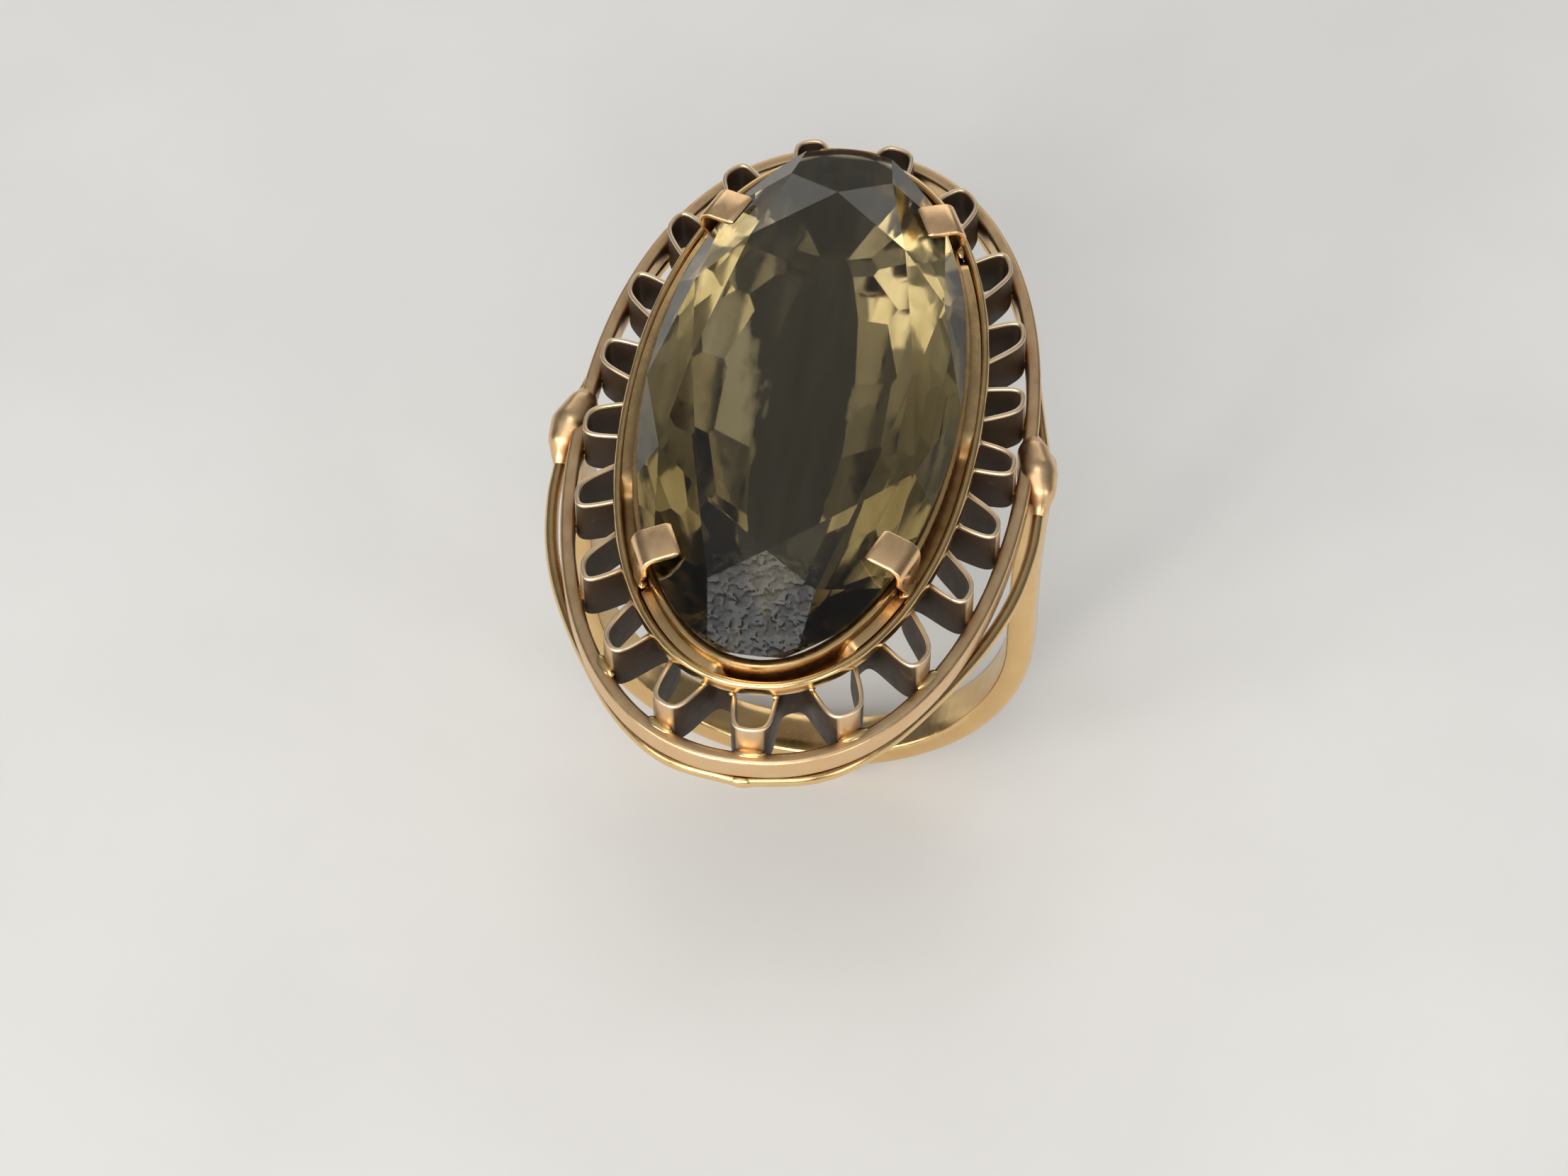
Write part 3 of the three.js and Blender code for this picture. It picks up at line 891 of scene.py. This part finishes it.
for index, (place, (side_x, side_y, distance)) in enumerate(CLAWS.items()):
    shape, foot, inward, across = claw_shape(side_x, side_y, distance, 50 + index)
    make(f"claw_{place}_fine", shape, ROSE, [f"claw_{place}"], crease=50)
    centre = foot + UP * (RAIL_TOP + COLLET_HEIGHT - 0.12)
    bead = lump(centre, (across, inward, UP), (0.62, 0.26, 0.24), 60 + index, rings=10, sides=16)
    make(f"claw_{place}_solder", bead, SOLDER)

# Shoulder arms, beads and band

ARM_RADIUS = 0.28
# Stops of an arm: degrees from the shoulder towards the head's end, how far outside the rail, and
# how far the wire drops below it.
ARM_ROUTES = {
    "front": (
        (3.9, 0.35, 0.05), (10, 0.42, 0.12), (19, 0.32, 0.15), (29, 0.02, 0.12), (42, -0.32, 0.08),
        (58, -0.32, 0.04), (73, -0.22, 0.04), (90, -0.2, 0.04),
    ),
    "rear": ((3.9, 0.25, 0), (12, -0.15, 0), (30, -0.35, 0), (60, -0.3, 0), (90, -0.28, 0)),
}
HEAD_ENDS = {"front": -1, "rear": 1}


def through(points, steps):
    """A smooth curve through the points, as centripetal Catmull-Rom spans."""
    padded = [points[0] * 2 - points[1], *points, points[-1] * 2 - points[-2]]
    curve = []
    for a, b, c, d in zip(padded, padded[1:], padded[2:], padded[3:]):
        t1 = math.sqrt((b - a).length)
        t2 = t1 + math.sqrt((c - b).length)
        t3 = t2 + math.sqrt((d - c).length)
        for i in range(steps):
            t = t1 + (t2 - t1) * i / steps
            p = a.lerp(b, t / t1)
            q = b.lerp(c, (t - t1) / (t2 - t1))
            r = c.lerp(d, (t - t2) / (t3 - t2))
            pq = p.lerp(q, t / t2)
            qr = q.lerp(r, (t - t1) / (t3 - t1))
            curve.append(pq.lerp(qr, (t - t1) / (t2 - t1)))
    curve.append(points[-1])
    return curve


def arm_shape(route, side_x, side_y, seed):
    """A round wire that follows its route just under the rail."""
    under = RAIL_TOP - RAIL_HEIGHT - JOINT_GAP - ARM_RADIUS
    stops = []
    for angle, outside, drop in route:
        point = RAIL_OVAL.outside(0.25 + side_y * angle / 360, outside)
        stops.append(Vector((side_x * max(point.x, 0.0), point.y, under - drop)))
    curve = through(stops, 14)
    frames, sections = [], []
    for i, point in enumerate(curve):
        ahead = curve[min(i + 1, len(curve) - 1)] - curve[max(i - 1, 0)]
        across = ahead.cross(UP).normalized()
        share = i / (len(curve) - 1)
        radius = ARM_RADIUS + 0.01 * noise.noise(Vector((share * 9, seed, 0)))
        frames.append((point, across, across.cross(ahead).normalized()))
        sections.append(ellipse(radius, radius, 14))
    return swept(frames, sections, False)


for end_name, side_y in HEAD_ENDS.items():
    for side_name, side_x in (("left", -1), ("right", 1)):
        node = f"shoulder_arm_{end_name}_{side_name}"
        shape = arm_shape(ARM_ROUTES[end_name], side_x, side_y, 70 + side_x + 3 * side_y)
        make(f"{node}_fine", shape, YELLOW, [node])


def arm_solder():
    """A bead at each end of the head, where the arms of the two sides meet."""
    parts = []
    thick = ARM_RADIUS + 0.01
    axes = (Vector((1, 0, 0)), Vector((0, 1, 0)), UP)
    for index, (end_name, side_y) in enumerate(HEAD_ENDS.items()):
        _, outside, drop = ARM_ROUTES[end_name][-1]
        centre = Vector((
            0, side_y * (RAIL_OVAL.half_length + outside),
            RAIL_TOP - RAIL_HEIGHT - JOINT_GAP - ARM_RADIUS - drop))
        parts.append(lump(
            centre, axes, (0.6, thick, thick), 90 + index, rings=12, sides=16, rough=0.02))
    return joined(parts)


make("arm_solder", arm_solder(), YELLOW)

SHANK_INNER = 8.75
SHANK_THICKNESS = 1.2
SHANK_LEAN = 0.45
SHANK_WIDTHS = (2.2, 2.6)
SHANK_TOP = top_of("shank").z
SHANK_STEPS = 150


def band_shape():
    """A D section swept round the finger, widening a little towards the shoulders."""
    middle = SHANK_INNER + SHANK_THICKNESS / 2
    length = 2 * SHANK_TOP + math.pi * middle
    frames, sections = [], []
    for i in range(SHANK_STEPS + 1):
        run = length * i / SHANK_STEPS
        if SHANK_TOP < run < length - SHANK_TOP:
            angle = math.pi + (run - SHANK_TOP) / middle
            point = Vector((middle * math.cos(angle), 0, middle * math.sin(angle)))
            outward = Vector((math.cos(angle), 0, math.sin(angle)))
        else:
            side = -1 if run <= SHANK_TOP else 1
            rise = (1 - run / SHANK_TOP) if side < 0 else 1 - (length - run) / SHANK_TOP
            point = Vector((side * (middle + SHANK_LEAN * rise ** 2), 0, SHANK_TOP * rise))
            tilt = 2 * SHANK_LEAN * rise / SHANK_TOP
            outward = Vector((side, 0, -tilt)).normalized()
        widened = eased(share_between(point.z, -middle, SHANK_TOP))
        width = SHANK_WIDTHS[0] + (SHANK_WIDTHS[1] - SHANK_WIDTHS[0]) * widened
        frames.append((point, Vector((0, 1, 0)), outward))
        sections.append(d_section(width, SHANK_THICKNESS, i))
    return swept(frames, sections, False)


def d_section(width, thickness, step):
    """Flat and softly rounded against the finger, domed outside."""
    half, flat = width / 2, thickness / 2
    wear = 0.012 * noise.noise(Vector((step * 0.09, 3.1, 0)))
    points = []
    for i in range(13):
        angle = math.pi * i / 12
        points.append((
            half * math.copysign(abs(math.cos(angle)) ** 0.6, math.cos(angle)),
            -0.05 + (flat + 0.04 + wear) * math.sin(angle) ** 0.8,
        ))
    points += [
        (-half, -flat * 0.55), (-half + 0.06, -flat * 0.85), (-half + 0.2, -flat * 0.98),
        (-half * 0.4, -flat), (half * 0.4, -flat), (half - 0.2, -flat * 0.98),
        (half - 0.06, -flat * 0.85), (half, -flat * 0.55),
    ]
    return points


make("shank_fine", band_shape(), YELLOW, ["shank"], crease=60)

# Each run of the shoulder bead: distance out, along and above the rail's top, and radius.
SHOULDER_RUNS = (
    ((9.25, 1.8, -0.45, 0.3), (9.4, 0.9, -0.46, 0.7), (9.68, -0.1, -0.52, 0.86),
     (9.86, -0.7, -0.72, 0.68), (9.93, -1.2, -1.12, 0.42), (9.9, -1.6, -1.34, 0.29)),
    ((9.7, 0.0, -0.5, 0.74), (9.85, 0.7, -0.8, 0.58), (9.86, 1.2, -1.15, 0.40), (9.8, 1.65, -1.33, 0.29)),
)
KNUCKLE_STEPS = 8
KNUCKLE_VOXEL = 0.06
KNUCKLE_SMOOTHINGS = 24


def knuckle_shape(side):
    """The soldered shoulder: a long bead that runs out on to the rail and down to both arms."""
    work = bmesh.new()
    for run in SHOULDER_RUNS:
        for (*start, thick), (*end, thin) in zip(run, run[1:]):
            for step in range(KNUCKLE_STEPS):
                out, along, above = Vector(start).lerp(Vector(end), step / KNUCKLE_STEPS)
                radius = thick + (thin - thick) * step / KNUCKLE_STEPS
                place = Matrix.Translation((side * out, along, RAIL_TOP + above))
                bmesh.ops.create_icosphere(work, subdivisions=3, radius=radius, matrix=place)
    mesh = bpy.data.meshes.new("melt")
    work.to_mesh(mesh)
    work.free()
    melt = bpy.data.objects.new("melt", mesh)
    bpy.context.scene.collection.objects.link(melt)
    remesh = melt.modifiers.new("melt", "REMESH")
    remesh.mode = "VOXEL"
    remesh.voxel_size = KNUCKLE_VOXEL
    smooth = melt.modifiers.new("smooth", "SMOOTH")
    smooth.factor = 0.5
    smooth.iterations = KNUCKLE_SMOOTHINGS
    bpy.context.view_layer.update()
    done = melt.evaluated_get(bpy.context.evaluated_depsgraph_get()).to_mesh()
    verts = [v.co.copy() for v in done.vertices]
    faces = [tuple(p.vertices) for p in done.polygons]
    bpy.data.objects.remove(melt)
    return verts, faces


for side_name, side in (("left", -1), ("right", 1)):
    node = f"shoulder_knuckle_{side_name}"
    make(f"{node}_fine", knuckle_shape(side), RAIL_GOLD, [node], crease=80)

# Floor, light and camera. Sizes and places of the floor and lights are in metres.

FLOOR_HALF = 1.6
WORLD_COLOUR = (0.96, 0.98, 1.0, 1)
WORLD_STRENGTH = (0.13, 0.62)
LIGHTS_AIM = (0, 0, 0.012)
# Each softbox: its place, its width and height, its watts and its colour.
SOFTBOXES = {
    "top": ((-0.02, -0.11, 0.60), (0.28, 0.28), 0.45, (1.0, 0.99, 0.97)),
    "key": ((-0.06, -0.54, 0.36), (0.64, 0.40), 3.1, (1.0, 0.98, 0.95)),
    "glint": ((-0.24, -0.58, 0.20), (0.10, 0.10), 0.9, (1.0, 0.97, 0.90)),
    "back": ((-0.05, 0.66, 0.26), (0.60, 0.34), 0.65, (1.0, 0.98, 0.95)),
    "left": ((-0.46, -0.34, 0.24), (0.20, 0.30), 0.6, (1.0, 0.98, 0.95)),
    "right": ((0.46, -0.34, 0.24), (0.20, 0.30), 0.6, (1.0, 0.98, 0.95)),
}
# Angles are in degrees and the rest in millimetres. The head's centre is at this distance along
# the view, and falls to the right of the picture's middle and above it by head_aside.
CAMERA = {
    "azimuth": 8.94, "elevation": 50.0, "roll": -0.57, "distance": 211.8,
    "lens": 118.595, "sensor": 36, "head_aside": (0.797, 6.070),
}


def stage_floor():
    height = cad_box[0].z
    mesh = bpy.data.meshes.new("floor")
    size = FLOOR_HALF
    mesh.from_pydata(
        [(-size, -size, height), (size, -size, height), (size, size, height), (-size, size, height)],
        [], [(0, 1, 2, 3)])
    n = Nodes("pale_floor")
    speck = n.noise((0.08, 0.08, 0.08), detail=4)
    n.link(
        n.mix(n.ranged(speck, 0.3, 0.7, 0, 1), (0.78, 0.77, 0.75), (0.82, 0.81, 0.79)),
        n.shader.inputs["Base Color"])
    n.shader.inputs["Roughness"].default_value = 0.8
    n.shader.inputs["Specular IOR Level"].default_value = 0.2
    mesh.materials.append(n.material)
    made = bpy.data.objects.new("floor", mesh)
    bpy.context.scene.collection.objects.link(made)


def softbox(name, place, size, watts, colour):
    light = bpy.data.lights.new(name, "AREA")
    light.shape = "RECTANGLE"
    light.size, light.size_y = size
    light.energy = watts
    light.color = colour
    made = bpy.data.objects.new(name, light)
    made.location = place
    made.rotation_mode = "QUATERNION"
    made.rotation_quaternion = (Vector(LIGHTS_AIM) - Vector(place)).to_track_quat("-Z", "Y")
    bpy.context.scene.collection.objects.link(made)


def stage_light():
    """A room that is brightest overhead, and the softboxes."""
    world = bpy.data.worlds.new("studio")
    world.use_nodes = True
    tree = world.node_tree
    sky = tree.nodes["Background"]
    sky.inputs["Color"].default_value = WORLD_COLOUR
    place = tree.nodes.new("ShaderNodeTexCoord")
    split = tree.nodes.new("ShaderNodeSeparateXYZ")
    curve = tree.nodes.new("ShaderNodeMath")
    curve.operation = "POWER"
    curve.inputs[1].default_value = 4.0
    level = tree.nodes.new("ShaderNodeMapRange")
    level.inputs["To Min"].default_value = WORLD_STRENGTH[0]
    level.inputs["To Max"].default_value = WORLD_STRENGTH[1]
    tree.links.new(place.outputs["Generated"], split.inputs[0])
    tree.links.new(split.outputs["Z"], curve.inputs[0])
    tree.links.new(curve.outputs[0], level.inputs["Value"])
    tree.links.new(level.outputs[0], sky.inputs["Strength"])
    bpy.context.scene.world = world
    for name, settings in SOFTBOXES.items():
        softbox(name, *settings)


def stage_camera():
    """Looks past the head so that its centre falls beside the picture's middle."""
    azimuth, elevation, roll = (
        math.radians(CAMERA[key]) for key in ("azimuth", "elevation", "roll"))
    back = Vector((
        math.sin(azimuth) * math.cos(elevation), -math.cos(azimuth) * math.cos(elevation),
        math.sin(elevation)))
    level = Vector((math.cos(azimuth), math.sin(azimuth), 0))
    upright = back.cross(level)
    right = level * math.cos(roll) + upright * math.sin(roll)
    above = upright * math.cos(roll) - level * math.sin(roll)
    aside, over = CAMERA["head_aside"]
    head = Vector((0, 0, RAIL_TOP))
    place = head + back * CAMERA["distance"] - right * aside - above * over
    data = bpy.data.cameras.new("camera")
    data.sensor_width = CAMERA["sensor"]
    data.lens = CAMERA["lens"]
    data.clip_start, data.clip_end = 0.005, 20
    made = bpy.data.objects.new("camera", data)
    turn = Matrix((right, above, back)).transposed()
    made.matrix_world = Matrix.Translation(place * MM) @ turn.to_4x4()
    bpy.context.scene.collection.objects.link(made)
    bpy.context.scene.camera = made


stage_floor()
stage_light()
stage_camera()
bpy.context.scene.view_settings.view_transform = "Standard"
